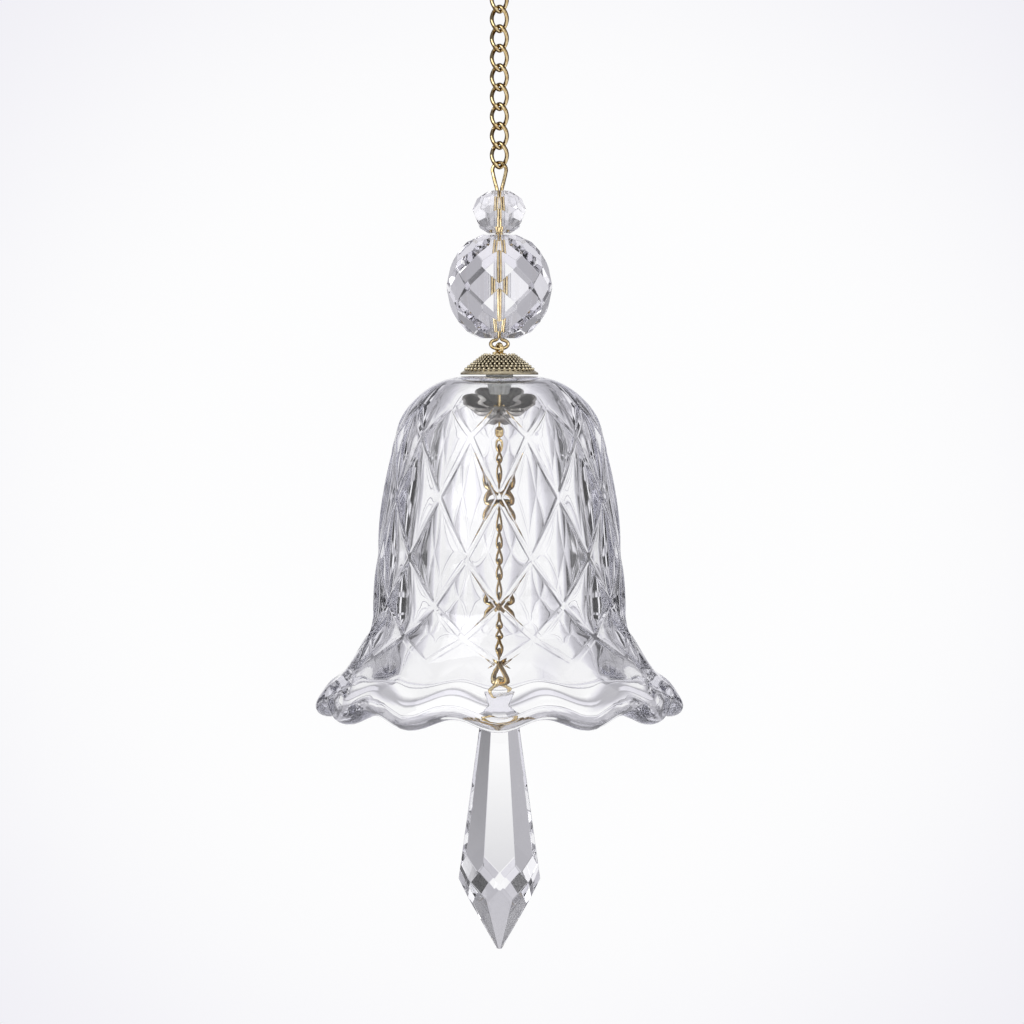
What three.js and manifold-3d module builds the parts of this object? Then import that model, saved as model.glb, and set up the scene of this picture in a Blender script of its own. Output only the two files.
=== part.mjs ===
// Glass bell suncatcher on a curb chain. Millimetres, +Z up.
// The origin is where a hook bears inside the hanging ring. The object hangs below it and faces -Y.
import * as THREE from 'three';
import { mergeVertices } from 'three/addons/utils/BufferGeometryUtils.js';
import Module from 'manifold-3d';

const wasm = await Module();
wasm.setup();

// Clearances
const linkGap = 0.2; // between two linked wires
const seatGap = 0.3; // between a piece and what it rests on
const threadGap = 0.3; // between a wire and the hole that it passes through
const upperEyeSlack = 0.225; // between the bead wire and the bell stem's upper eye
const lowerEyeSlack = 0.35; // between a link's wire and the bell stem's lower eye

// Hanging ring and jump ring
const hangRingBore = 9.6;
const hangRingWire = 1.2;
const jumpRingBore = 4.4;
const jumpRingWire = 0.8;
const hangRingSteps = 24;
const smallRingSteps = 18;
const wireSides = 6;

// Curb chain
const linkWire = 0.75;
const linkWidth = 3.8;
const linkPitch = 3.68;
const linkTwist = 90; // degrees from one end of a link to the other
const outerLinkCount = 11;
const innerLinkCount = 12;
const linkSteps = 12;

// Bead wire
const beadWire = 0.7;
const beadLegGap = 0.2;
const upperEyeWidth = 3.5;
const upperEyeTurn = -30; // of the eye's top, against the legs
const upperEyeLength = 5.35; // from the eye's top wire to the small bead
const lowerEyeWidth = 4.0;
const lowerEyeHeight = 2.26;
const upperEyeArc = 200; // degrees of the eye that are round
const upperEyeSteps = 8;
const lowerEyeArc = 270;
const lowerEyeSteps = 10;
const bendSteps = 2; // facets between neighbouring points of a bent wire

// Beads
const smallBeadWidth = 10.2;
const smallBeadHeight = 8.1;
const smallBeadSides = 9;
const smallBeadRows = [26, 58]; // degrees of latitude of its facet rows
const largeBeadWidth = 20;
const largeBeadHeight = 19.6;
const largeBeadSides = 10;
const largeBeadRows = [15, 43, 68];
const beadEndFlat = 0.93; // share of the facet ball's radius that is left at its flat ends
const beadBlank = 4; // width of the block it is cut from, with the facet ball's radius as 1
const boreSides = 16;

// Bell stem, an eye pin, and its stop bead
const stemWire = 0.75;
const stemEyeTurn = -60;
const stemSides = 12;
const stopBeadWidth = 2.8;
const stopBeadHeight = 1.6;
const stopBeadRows = 6;

// Filigree cap
const capWidth = 14.8;
const capHeight = 3.8;
const capDishRadius = 1.6;
const capCrestWidth = 1.5; // from the dish to the outer slope
const capDishDepth = 0.55;
const capShell = 0.5;
const capRim = 0.9; // width of the plain band at the edge
const capSlots = 36;
const capSlotWide = 0.62;
const capSlotNarrow = 0.2;

// Crown bushing
const bushingFlangeWidth = 8;
const bushingFlangeThick = 0.8;
const bushingTopWidth = 5.2;
const bushingTipWidth = 3.7;
const bushingLength = 5.7; // below the crown
const bushingSides = 20;

// Bell
const crownRadius = 7;
const crownThick = 2.6;
const throatRadius = 20.7;
const waistRadius = 24.1;
const rimRadius = 35;
const domeDepth = 14.5;
const domePower = 1.8; // 2 would make the dome an ellipse
const waistDepth = 45;
const rimDepth = 62.9;
const bodySwell = 0.8;
const flarePower = 1.25;
const bellWall = 3.1;
const rimWall = 4.4;
const rimRound = 2;
const scallops = 12;
const scallopDrop = 1.1;
const scallopReach = 0.5;
const scoopDepth = 0.65;
const rimWavePower = 3; // how late the scallops set in below the waist
const crossings = [0.088, 0.179, 0.361, 0.543, 0.684, 0.78, 0.847]; // lattice rows, as shares of rimDepth
const latticeSteps = 3; // facets between neighbouring crossings
const domeShares = [0.15, 0.5]; // rows above the first crossing
const skirtShares = [1 / 3, 2 / 3]; // rows below the last crossing
const innerDomeShares = [1, 0.5, 0.12]; // rows of the inner dome, from its foot up

// Petal cap
const petals = 6;
const petalWidth = 14.4;
const petalRise = 5.8;
const petalShell = 0.5;
const petalNotch = 0.42;
const petalCurl = 1.5; // power of the petals' upward curve
const petalSteps = 6; // facets along a petal's edge
const petalShares = [0, 0.25, 0.5, 0.78, 1]; // rows from the hole out to the edge

// Bail and drop
const bailWire = 0.7;
const bailLength = 7.5; // from its top wire to its bottom wire
const bailTopWidth = 2.9;
const bailTurn = 67.5;
const dropHoleDrop = 2.1; // from the drop's top to its hole
const dropTopWidth = 6.5;
const dropTopBevel = 0.6;
const dropWidth = 15.6;
const dropGirdle = 33.3; // from the drop's top to its widest level
const dropLength = 46.8;
const dropTipWidth = 0.9;
const dropSides = 8;
const kiteCut = 1; // how deep the girdle facets cut the corners
const kiteLean = 0.22; // how fast they lean in towards the tip
const dropHoleSides = 12;

const deg = THREE.MathUtils.degToRad;
const halfTwist = deg(linkTwist / 2);
const stemEyeRadius = (beadWire + stemWire) / 2 + upperEyeSlack;
const stemLowEyeRadius = (linkWire + stemWire) / 2 + lowerEyeSlack;
const capCrestRadius = capDishRadius + capCrestWidth;
const latticeLevels = crossings.map((share) => share * rimDepth);

// Levels, worked out from the hang point down
const linkReach = (linkPitch + linkWire + linkGap) / 2; // from a link's centre to its end wire's centre
const nest = (upper, lower) => (upper + lower) / 2 + linkGap;
const jumpRadius = (jumpRingBore + jumpRingWire) / 2;
const hangRingBottom = -hangRingBore - hangRingWire / 2;
const jumpCentre = hangRingBottom + nest(hangRingWire, jumpRingWire) - jumpRadius;
const outerTop = jumpCentre - jumpRadius + nest(jumpRingWire, linkWire);
const outerBottom = outerTop - 2 * linkReach - (outerLinkCount - 1) * linkPitch;
const upperEyeTop = outerBottom + nest(linkWire, beadWire);
const smallBeadCentre = upperEyeTop - upperEyeLength - smallBeadHeight / 2;
const largeBeadCentre = smallBeadCentre - smallBeadHeight / 2 - seatGap - largeBeadHeight / 2;
const largeBeadBottom = largeBeadCentre - largeBeadHeight / 2;
const lowerEyeHalfHeight = (lowerEyeHeight - beadWire) / 2;
const lowerEyeShoulder = lowerEyeHalfHeight * Math.cos(deg(180 - lowerEyeArc / 2));
const lowerEyeCentre = largeBeadBottom - seatGap - beadWire / 2 - lowerEyeShoulder;
const lowerEyeBottom = lowerEyeCentre - lowerEyeHalfHeight;
const stemEyeCentre = lowerEyeBottom + nest(beadWire, stemWire) - stemEyeRadius;
const stemEyeBottom = stemEyeCentre - stemEyeRadius - stemWire / 2;
const capBottom = stemEyeBottom - seatGap - (capHeight - capDishDepth);
const crownTop = capBottom - seatGap;
const petalTop = crownTop - crownThick - seatGap;
const petalBottom = petalTop - petalRise - petalShell;
const stopBeadTop = petalBottom - seatGap;
const stemLowEyeCentre = stopBeadTop - stopBeadHeight - seatGap - stemWire / 2 - stemLowEyeRadius;
const innerTop = stemLowEyeCentre - stemLowEyeRadius + nest(stemWire, linkWire);
const innerBottom = innerTop - 2 * linkReach - (innerLinkCount - 1) * linkPitch;
const bailTop = innerBottom + nest(linkWire, bailWire);
const bailBottom = bailTop - bailLength;
const dropTop = bailBottom + dropHoleDrop;

// Turns about the axis that set each pair of linked ends square to each other
const jumpRingTurn = halfTwist;
const innerChainTurn = deg(bailTurn) - 3 * halfTwist;
const stemLowEyeTurn = innerChainTurn + halfTwist;

const gold = { color: 0xc9a24a, metalness: 1, roughness: 0.25 };
const antiqueGold = { color: 0x9a8350, metalness: 1, roughness: 0.4 };
const antiqueSilver = { color: 0x8d8b86, metalness: 1, roughness: 0.35 };
const crystal = { color: 0xe9ebf2, metalness: 0, roughness: 0.05 };
const bellGlass = { color: 0xeef0f5, metalness: 0, roughness: 0.06 };
const clearPlastic = { color: 0xc4cbc4, metalness: 0, roughness: 0.2 };

const suncatcher = new THREE.Group();

function addPiece(name, geometry, look, z = 0, turn = 0) {
  const piece = new THREE.Mesh(geometry, new THREE.MeshStandardMaterial(look));
  piece.name = name;
  piece.position.z = z;
  piece.rotation.z = turn;
  suncatcher.add(piece);
}

// Solids for joins and cuts
function solidOf(geometry) {
  const bare = geometry.clone();
  bare.deleteAttribute('normal');
  bare.deleteAttribute('uv');
  const merged = mergeVertices(bare);
  const vertProperties = new Float32Array(merged.attributes.position.array);
  const triVerts = new Uint32Array(merged.index.array);
  return new wasm.Manifold(new wasm.Mesh({ numProp: 3, vertProperties, triVerts }));
}

function geometryOf(solid) {
  const mesh = solid.getMesh();
  const geometry = new THREE.BufferGeometry();
  geometry.setAttribute('position', new THREE.BufferAttribute(mesh.vertProperties, mesh.numProp));
  geometry.setIndex(new THREE.BufferAttribute(mesh.triVerts, 1));
  geometry.computeVertexNormals();
  return geometry;
}

// Keeps what lies inside each plane, given by its outward normal and its distance from the centre
function facet(solid, planes) {
  return planes.reduce(
    (left, { normal, distance }) => left.trimByPlane([-normal.x, -normal.y, -normal.z], -distance),
    solid,
  );
}

function boreThrough(geometry, width, length) {
  const drill = new THREE.CylinderGeometry(width / 2, width / 2, length, boreSides);
  drill.rotateX(Math.PI / 2);
  return geometryOf(solidOf(geometry).subtract(solidOf(drill)));
}

// A wire bent into a closed loop. Each hand-set point takes an even share of the steps.
function wireLoop(points, wire, stepsPerPoint) {
  const route = new THREE.CatmullRomCurve3(points, true, 'centripetal');
  route.getPointAt = (t, target) => route.getPoint(t, target);
  route.getTangentAt = (t, target) => route.getTangent(t, target);
  return new THREE.TubeGeometry(route, points.length * stepsPerPoint, wire / 2, wireSides, true);
}

// A revolved outline, closed on itself, with its axis set upright
function revolve(outline, sides) {
  const geometry = new THREE.LatheGeometry([...outline, outline[0]], sides);
  geometry.rotateX(Math.PI / 2);
  return geometry;
}

function wireRing(radius, wire, steps) {
  const ring = new THREE.TorusGeometry(radius, wire / 2, wireSides, steps);
  ring.rotateX(Math.PI / 2);
  return ring;
}

// Curb link: an oval whose ends are turned against each other, so that each end meets its neighbour square
function curbLink() {
  const half = (linkWidth - linkWire) / 2;
  const points = Array.from({ length: linkSteps }, (_, i) => {
    const along = (i / linkSteps) * 2 * Math.PI;
    const rise = Math.cos(along);
    const side = half * Math.sin(along);
    const turn = -halfTwist * rise;
    return new THREE.Vector3(side * Math.cos(turn), side * Math.sin(turn), linkReach * rise);
  });
  return wireLoop(points, linkWire, 1);
}

function chain(name, count, top, turn) {
  for (let i = 0; i < count; i += 1) {
    const label = `${name}_${String(i + 1).padStart(2, '0')}`;
    addPiece(label, curbLink(), gold, top - linkReach - i * linkPitch, turn);
  }
}

// Bead wire: a hairpin whose upper eye is turned to meet the chain and whose lower eye is round
function beadWireLoop() {
  const leg = (beadWire + beadLegGap) / 2;
  const eye = (upperEyeWidth - beadWire) / 2;
  const eyeCentre = upperEyeTop - eye;
  const legTop = upperEyeTop - upperEyeLength;
  const lowHalfWidth = (lowerEyeWidth - beadWire) / 2;
  const arc = (middle, spread, steps, halfWidth, halfHeight, centre) =>
    Array.from({ length: steps + 1 }, (_, i) => {
      const angle = deg(middle + spread * (i / steps - 1 / 2));
      return [halfWidth * Math.cos(angle), centre + halfHeight * Math.sin(angle)];
    });
  const route = [
    ...arc(90, upperEyeArc, upperEyeSteps, eye, eye, eyeCentre),
    [-leg, legTop],
    [-leg, smallBeadCentre],
    [-leg, largeBeadCentre],
    [-leg, largeBeadBottom],
    ...arc(270, lowerEyeArc, lowerEyeSteps, lowHalfWidth, lowerEyeHalfHeight, lowerEyeCentre),
    [leg, largeBeadBottom],
    [leg, largeBeadCentre],
    [leg, smallBeadCentre],
    [leg, legTop],
  ];
  const points = route.map(([x, z]) => {
    const share = THREE.MathUtils.clamp((z - legTop) / upperEyeLength, 0, 1);
    const turn = deg(upperEyeTurn) * share;
    return new THREE.Vector3(x * Math.cos(turn), x * Math.sin(turn), z);
  });
  return wireLoop(points, beadWire, bendSteps);
}

// Faceted bead: rows of flats round a ball, each row half a step from the next, scaled to the bead's size
function facetedBead(width, height, sides, rows) {
  const latitudes = [...rows.map((row) => -row).reverse(), ...rows];
  const planes = latitudes.flatMap((latitude, row) =>
    Array.from({ length: sides }, (_, i) => {
      const around = ((i + (row % 2) / 2) / sides) * 2 * Math.PI;
      const flat = Math.cos(deg(latitude));
      const normal = new THREE.Vector3(
        flat * Math.cos(around),
        flat * Math.sin(around),
        Math.sin(deg(latitude)),
      );
      return { normal, distance: 1 };
    }),
  );
  const block = new THREE.BoxGeometry(beadBlank, beadBlank, 2 * beadEndFlat);
  const bead = geometryOf(facet(solidOf(block), planes));
  bead.computeBoundingBox();
  const size = bead.boundingBox.getSize(new THREE.Vector3());
  const across = width / Math.max(size.x, size.y);
  bead.scale(across, across, height / size.z);
  const bore = 2 * beadWire + beadLegGap + 2 * threadGap;
  return boreThrough(bead, bore, 2 * height);
}

// Filigree cap: a dished hat shell with slots that widen towards a plain rim
function filigreeCap() {
  const hole = stemWire / 2 + threadGap;
  const edge = capWidth / 2;
  const dishLevel = capHeight - capDishDepth;
  const rimLip = capShell + seatGap;
  const outline = [
    new THREE.Vector2(hole, dishLevel),
    new THREE.Vector2(capDishRadius, dishLevel),
    new THREE.Vector2(capCrestRadius - capShell, capHeight),
    new THREE.Vector2(capCrestRadius, capHeight),
    new THREE.Vector2(edge - capRim, rimLip),
    new THREE.Vector2(edge, capShell),
    new THREE.Vector2(edge, 0),
    new THREE.Vector2(edge - capRim, 0),
    new THREE.Vector2(capCrestRadius, capHeight - 2 * capShell),
    new THREE.Vector2(capDishRadius, dishLevel - capShell),
    new THREE.Vector2(hole, dishLevel - capShell),
  ].reverse();
  const slotStart = capCrestRadius + capShell;
  const slotEnd = edge - capRim - capSlotWide / 2;
  const slot = new THREE.Shape();
  slot.moveTo(slotStart, -capSlotNarrow / 2);
  slot.lineTo(slotEnd, -capSlotWide / 2);
  slot.lineTo(slotEnd + capSlotWide / 2, 0);
  slot.lineTo(slotEnd, capSlotWide / 2);
  slot.lineTo(slotStart, capSlotNarrow / 2);
  let shell = solidOf(revolve(outline, capSlots));
  for (let i = 0; i < capSlots; i += 1) {
    const cutter = new THREE.ExtrudeGeometry(slot, { depth: 3 * capHeight, bevelEnabled: false });
    cutter.translate(0, 0, -capHeight);
    cutter.rotateZ((i / capSlots) * 2 * Math.PI);
    shell = shell.subtract(solidOf(cutter));
  }
  return geometryOf(shell);
}

// Bell stem: an eye at each end of a straight wire, in one piece
function bellStem() {
  const upper = wireRing(stemEyeRadius, stemWire, smallRingSteps);
  upper.rotateZ(deg(stemEyeTurn));
  upper.translate(0, 0, stemEyeCentre);
  const lower = wireRing(stemLowEyeRadius, stemWire, smallRingSteps);
  lower.rotateZ(stemLowEyeTurn);
  lower.translate(0, 0, stemLowEyeCentre);
  const from = stemEyeCentre - stemEyeRadius;
  const to = stemLowEyeCentre + stemLowEyeRadius;
  const shaft = new THREE.CylinderGeometry(stemWire / 2, stemWire / 2, from - to, stemSides);
  shaft.rotateX(Math.PI / 2);
  shaft.translate(0, 0, (from + to) / 2);
  return geometryOf(solidOf(upper).add(solidOf(shaft)).add(solidOf(lower)));
}

function stopBead() {
  const ball = new THREE.SphereGeometry(stopBeadWidth / 2, stemSides, stopBeadRows);
  ball.rotateX(Math.PI / 2);
  ball.scale(1, 1, stopBeadHeight / stopBeadWidth);
  return boreThrough(ball, stemWire + threadGap, 2 * stopBeadHeight);
}

// Crown bushing: a flanged sleeve that tapers below the crown
function crownBushing() {
  const bore = stemWire / 2 + threadGap;
  const outline = [
    new THREE.Vector2(bore, -bushingLength),
    new THREE.Vector2(bushingTipWidth / 2, -bushingLength),
    new THREE.Vector2(bushingTopWidth / 2, -crownThick / 2),
    new THREE.Vector2(bushingTopWidth / 2, seatGap),
    new THREE.Vector2(bushingFlangeWidth / 2, seatGap),
    new THREE.Vector2(bushingFlangeWidth / 2, seatGap + bushingFlangeThick),
    new THREE.Vector2(bore, seatGap + bushingFlangeThick),
  ];
  return revolve(outline, bushingSides);
}

// Sweep of a dome, as a share of its spread, at a share of its depth
function domeCurve(share) {
  return (1 - (1 - share) ** domePower) ** (1 / domePower);
}

// Bell outline: radius of the outer face at a depth below the crown
function bellRadius(depth) {
  if (depth < domeDepth) {
    return crownRadius + (throatRadius - crownRadius) * domeCurve(depth / domeDepth);
  }
  if (depth < waistDepth) {
    const share = (depth - domeDepth) / (waistDepth - domeDepth);
    return throatRadius + (waistRadius - throatRadius) * share + bodySwell * Math.sin(Math.PI * share);
  }
  const share = (depth - waistDepth) / (rimDepth - waistDepth);
  return waistRadius + (rimRadius - waistRadius) * share ** flarePower;
}

// Depth of a row of the lattice, counted in crossings from its top
function latticeDepth(row) {
  const step = Math.min(Math.floor(row), latticeLevels.length - 2);
  return THREE.MathUtils.lerp(latticeLevels[step], latticeLevels[step + 1], row - step);
}

// How far a scoop between lattice lines lies below them; the lines themselves stay proud
function scoop(column, row) {
  const last = latticeLevels.length - 1;
  const rising = Math.sin((Math.PI * (column + row)) / 2);
  const falling = Math.sin((Math.PI * (column - row)) / 2);
  const fadeIn = THREE.MathUtils.smoothstep(row, -1, 1);
  const fadeOut = 1 - THREE.MathUtils.smoothstep(row, last - 1, last + 1);
  return scoopDepth * Math.sqrt(Math.abs(rising * falling)) * fadeIn * fadeOut;
}

function glassBell() {
  const holeRadius = bushingTopWidth / 2 + threadGap;
  const last = latticeLevels.length - 1;
  const rows = [];
  const outer = (depth, row = null) => rows.push({ radius: bellRadius(depth), depth, row });
  const plain = (radius, depth) => rows.push({ radius, depth, row: null });

  plain(holeRadius, 0);
  plain(crownRadius, 0);
  domeShares.forEach((share) => outer(share * latticeLevels[0], share - 1));
  for (let i = 0; i <= last * latticeSteps; i += 1) {
    outer(latticeDepth(i / latticeSteps), i / latticeSteps);
  }
  const skirt = rimDepth - latticeLevels[last];
  skirtShares.forEach((share) => outer(latticeLevels[last] + share * skirt, last + share));
  outer(rimDepth - rimRound);
  const lipInner = rimRadius - rimWall;
  const lipMiddle = rimRadius - rimWall / 2;
  plain(rimRadius, rimDepth);
  plain(lipMiddle + rimWall / 4, rimDepth + rimRound);
  plain(lipMiddle - rimWall / 4, rimDepth + rimRound);
  plain(lipInner, rimDepth);
  const inner = (depth) => plain(bellRadius(depth) - bellWall, depth);
  plain(bellRadius(rimDepth - skirt / 3) - rimWall, rimDepth - skirt / 3);
  inner(latticeLevels[last]);
  inner(waistDepth);
  inner((domeDepth + waistDepth) / 2);
  const innerDome = domeDepth + bellWall;
  const innerCrown = petalWidth / 2 + seatGap;
  const innerThroat = bellRadius(innerDome) - bellWall;
  innerDomeShares.forEach((share) => {
    const level = crownThick + share * (innerDome - crownThick);
    plain(innerCrown + (innerThroat - innerCrown) * domeCurve(share), level);
  });
  plain(innerCrown, crownThick);
  plain(holeRadius, crownThick);

  // The crossings, half a scallop apart round the bell
  const columns = 2 * scallops;
  const sides = columns * latticeSteps;
  const rimWave = (depth) => {
    const share = THREE.MathUtils.clamp((depth - waistDepth) / (rimDepth - waistDepth), 0, 1);
    return share ** rimWavePower;
  };
  const outline = rows.map(({ radius, depth }) => new THREE.Vector2(radius, -depth));
  const geometry = revolve(outline.reverse(), sides);
  rows.reverse();
  rows.push(rows[0]);

  // Lattice and scallops, pressed into the revolved wall
  const place = geometry.attributes.position;
  const point = new THREE.Vector3();
  for (let i = 0; i < place.count; i += 1) {
    const { radius, depth, row } = rows[i % rows.length];
    point.fromBufferAttribute(place, i);
    const around = Math.atan2(point.x, -point.y);
    const column = (around / (2 * Math.PI)) * columns;
    const sunk = row === null ? 0 : scoop(column, row);
    const wave = Math.cos(scallops * around) * rimWave(depth);
    const reach = radius - sunk + scallopReach * wave;
    place.setXYZ(i, reach * Math.sin(around), -reach * Math.cos(around), -depth - scallopDrop * wave);
  }

  // Each four-sided patch is split along the diagonal that lies nearer the pressed surface
  const corner = (side, row) => point.clone().fromBufferAttribute(place, side * rows.length + row);
  const index = [];
  for (let side = 0; side < sides; side += 1) {
    for (let row = 0; row < rows.length - 1; row += 1) {
      const at = (s, r) => (side + s) * rows.length + row + r;
      const rise = corner(side, row).distanceTo(corner(side + 1, row + 1));
      const fall = corner(side + 1, row).distanceTo(corner(side, row + 1));
      const level = rows[row].row;
      const next = rows[row + 1].row;
      const column = (side / sides) * columns;
      let risesBetter = rise <= fall;
      if (level !== null && next !== null) {
        const middle = scoop(column + 0.5 / latticeSteps, (level + next) / 2);
        const along = (scoop(column, level) + scoop(column + 1 / latticeSteps, next)) / 2;
        const against = (scoop(column + 1 / latticeSteps, level) + scoop(column, next)) / 2;
        risesBetter = Math.abs(along - middle) <= Math.abs(against - middle);
      }
      if (risesBetter) {
        index.push(at(0, 0), at(1, 0), at(1, 1), at(0, 0), at(1, 1), at(0, 1));
      } else {
        index.push(at(0, 0), at(1, 0), at(0, 1), at(1, 0), at(1, 1), at(0, 1));
      }
    }
  }
  geometry.setIndex(index);
  geometry.computeVertexNormals();
  return geometry;
}

// Petal cap: a shallow cup whose edge is notched into petals
function petalCap() {
  const hole = stemWire / 2 + threadGap;
  const edge = petalWidth / 2;
  const cup = (share, lift) => {
    const radius = hole + (edge - hole) * share;
    return new THREE.Vector2(radius, lift + petalRise * share ** petalCurl);
  };
  const under = petalShares.map((share) => cup(share, 0));
  const over = petalShares.map((share) => cup(share, petalShell)).reverse();
  const geometry = revolve([...under, ...over], petalSteps * petals);
  const place = geometry.attributes.position;
  for (let i = 0; i < place.count; i += 1) {
    const x = place.getX(i);
    const y = place.getY(i);
    const share = (Math.hypot(x, y) - hole) / (edge - hole);
    const lobe = Math.abs(Math.cos((petals / 2) * Math.atan2(x, y)));
    const draw = 1 - petalNotch * share ** 2 * (1 - Math.sqrt(lobe));
    place.setXY(i, x * draw, y * draw);
  }
  return geometry;
}

// Bail: a loop with a narrow top for the chain, upright legs and a straight run through the drop
function dropBail() {
  const dropSlope = (dropWidth - dropTopWidth) / 2 / dropGirdle;
  const corner = (dropTopWidth / 2 + dropSlope * dropHoleDrop) / Math.cos(Math.PI / dropSides);
  const leg = corner + seatGap + bailWire / 2;
  const arch = (bailTopWidth - bailWire) / 2;
  const bend = bailWire;
  const shoulder = bailBottom + dropHoleDrop + 2 * seatGap + bailWire;
  const half = [
    [arch * Math.SQRT1_2, bailTop - arch * (1 - Math.SQRT1_2)],
    [arch, bailTop - arch],
    [leg - bend, shoulder + bend],
    [leg, shoulder],
    [leg, bailBottom + bend],
    [leg - bend * (1 - Math.SQRT1_2), bailBottom + bend * (1 - Math.SQRT1_2)],
    [leg - bend, bailBottom],
  ];
  const mirrored = half.map(([x, z]) => [-x, z]).reverse();
  const route = [[0, bailTop], ...half, ...mirrored];
  const points = route.map(([x, z]) => {
    const turn = deg(bailTurn);
    return new THREE.Vector3(x * Math.cos(turn), x * Math.sin(turn), z);
  });
  return wireLoop(points, bailWire, bendSteps);
}

// Drop: a tapered prism with a point, girdle facets on its corners and a hole through its neck
function glassDrop() {
  const half = Math.PI / dropSides;
  const ring = (turn, lean, distance) =>
    Array.from({ length: dropSides }, (_, i) => {
      const around = 2 * half * i + turn;
      const normal = new THREE.Vector3(Math.cos(around), Math.sin(around), lean).normalize();
      return { normal, distance: distance / Math.hypot(1, lean) };
    });
  const tipFlat = dropTipWidth / 2;
  const widest = dropWidth / 2;
  const upSlope = (widest - dropTopWidth / 2) / dropGirdle;
  const downSlope = (widest - tipFlat) / (dropLength - dropGirdle);
  const cornerRadius = widest / Math.cos(half) - kiteCut;
  const planes = [
    ...ring(0, upSlope, dropTopWidth / 2),
    ...ring(0, -downSlope, widest + downSlope * dropGirdle),
    ...ring(half, -kiteLean, cornerRadius + kiteLean * dropGirdle),
    ...ring(0, 1, dropTopWidth / 2 - dropTopBevel),
  ];
  const block = new THREE.BoxGeometry(2 * dropWidth, 2 * dropWidth, dropLength);
  block.translate(0, 0, -dropLength / 2);
  const gem = facet(solidOf(block), planes);
  const hole = bailWire + 2 * threadGap;
  const drill = new THREE.CylinderGeometry(hole / 2, hole / 2, 2 * dropWidth, dropHoleSides);
  drill.rotateZ(Math.PI / 2);
  drill.rotateZ(deg(bailTurn));
  drill.translate(0, 0, -dropHoleDrop);
  return geometryOf(gem.subtract(solidOf(drill)));
}

const hangingRing = wireRing((hangRingBore + hangRingWire) / 2, hangRingWire, hangRingSteps);
addPiece('hanging_ring', hangingRing, gold, -hangRingBore / 2);
addPiece('jump_ring', wireRing(jumpRadius, jumpRingWire, smallRingSteps), gold, jumpCentre, jumpRingTurn);
chain('chain_link', outerLinkCount, outerTop, 0);
addPiece('bead_wire', beadWireLoop(), gold);
const smallBead = facetedBead(smallBeadWidth, smallBeadHeight, smallBeadSides, smallBeadRows);
addPiece('small_bead', smallBead, crystal, smallBeadCentre);
const largeBead = facetedBead(largeBeadWidth, largeBeadHeight, largeBeadSides, largeBeadRows);
addPiece('large_bead', largeBead, crystal, largeBeadCentre);
addPiece('filigree_cap', filigreeCap(), antiqueGold, capBottom);
addPiece('bell_stem', bellStem(), gold);
addPiece('crown_bushing', crownBushing(), clearPlastic, crownTop);
addPiece('glass_bell', glassBell(), bellGlass, crownTop);
addPiece('petal_cap', petalCap(), antiqueSilver, petalBottom, Math.PI / petals);
addPiece('stop_bead', stopBead(), gold, stopBeadTop - stopBeadHeight / 2);
chain('inner_link', innerLinkCount, innerTop, innerChainTurn);
addPiece('drop_bail', dropBail(), gold);
addPiece('glass_drop', glassDrop(), crystal, dropTop);

export default suncatcher;
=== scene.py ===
import bmesh
import bpy
import math
from mathutils import Matrix, Vector


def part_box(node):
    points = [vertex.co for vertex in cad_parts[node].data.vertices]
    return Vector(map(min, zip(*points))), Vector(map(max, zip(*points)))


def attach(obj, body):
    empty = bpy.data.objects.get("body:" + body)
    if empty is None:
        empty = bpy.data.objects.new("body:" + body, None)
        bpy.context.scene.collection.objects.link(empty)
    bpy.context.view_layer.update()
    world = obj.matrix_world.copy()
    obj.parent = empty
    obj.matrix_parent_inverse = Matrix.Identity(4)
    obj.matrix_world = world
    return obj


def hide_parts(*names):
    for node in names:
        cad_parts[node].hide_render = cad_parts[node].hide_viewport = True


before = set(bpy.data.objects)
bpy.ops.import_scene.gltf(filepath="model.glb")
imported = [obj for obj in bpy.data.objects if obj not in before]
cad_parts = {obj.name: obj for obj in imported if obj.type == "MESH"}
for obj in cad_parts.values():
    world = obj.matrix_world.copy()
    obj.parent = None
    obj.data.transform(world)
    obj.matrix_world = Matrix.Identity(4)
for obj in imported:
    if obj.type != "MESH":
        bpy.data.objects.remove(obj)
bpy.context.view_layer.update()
mm = 0.001
scene = bpy.context.scene
print("frame loaded:", len(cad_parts), "nodes")


# top, bottom and middle height of a CAD node, in millimetres
def nodeTop(node):
    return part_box(node)[1].z / mm


def nodeBottom(node):
    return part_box(node)[0].z / mm


def nodeMiddle(node):
    return (nodeTop(node) + nodeBottom(node)) / 2


def aimAt(thing, place, aim):
    thing.location = place
    thing.rotation_euler = (aim - place).to_track_quat("-Z", "Y").to_euler()
    scene.collection.objects.link(thing)


# camera at the height of the bell's crown
view = dict(distance=700.0, height=-94.0, aimHeight=-120.1, across=2.4, pictureWidth=195.05, sensor=36.0,
            clipStart=10.0)


def makeCamera():
    data = bpy.data.cameras.new("photoCamera")
    data.sensor_width = view["sensor"]
    place = Vector((view["across"], -view["distance"], view["height"])) * mm
    aim = Vector((view["across"], 0.0, view["aimHeight"])) * mm
    data.lens = view["sensor"] * (aim - place).length / mm / view["pictureWidth"]
    data.clip_start = view["clipStart"] * mm
    camera = bpy.data.objects.new("photoCamera", data)
    aimAt(camera, place, aim)
    scene.camera = camera


makeCamera()


def addNode(tree, kind, **values):
    node = tree.nodes.new(kind)
    for key, value in values.items():
        if key in node.inputs:
            node.inputs[key].default_value = value
        else:
            setattr(node, key, value)
    return node


def wire(tree, start, end):
    tree.links.new(start, end)


# links a socket, or gives it a plain value
def feed(tree, value, socket):
    if isinstance(value, bpy.types.NodeSocket):
        wire(tree, value, socket)
    elif socket.type == "RGBA":
        socket.default_value = (*value, 1.0)
    else:
        socket.default_value = value


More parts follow.
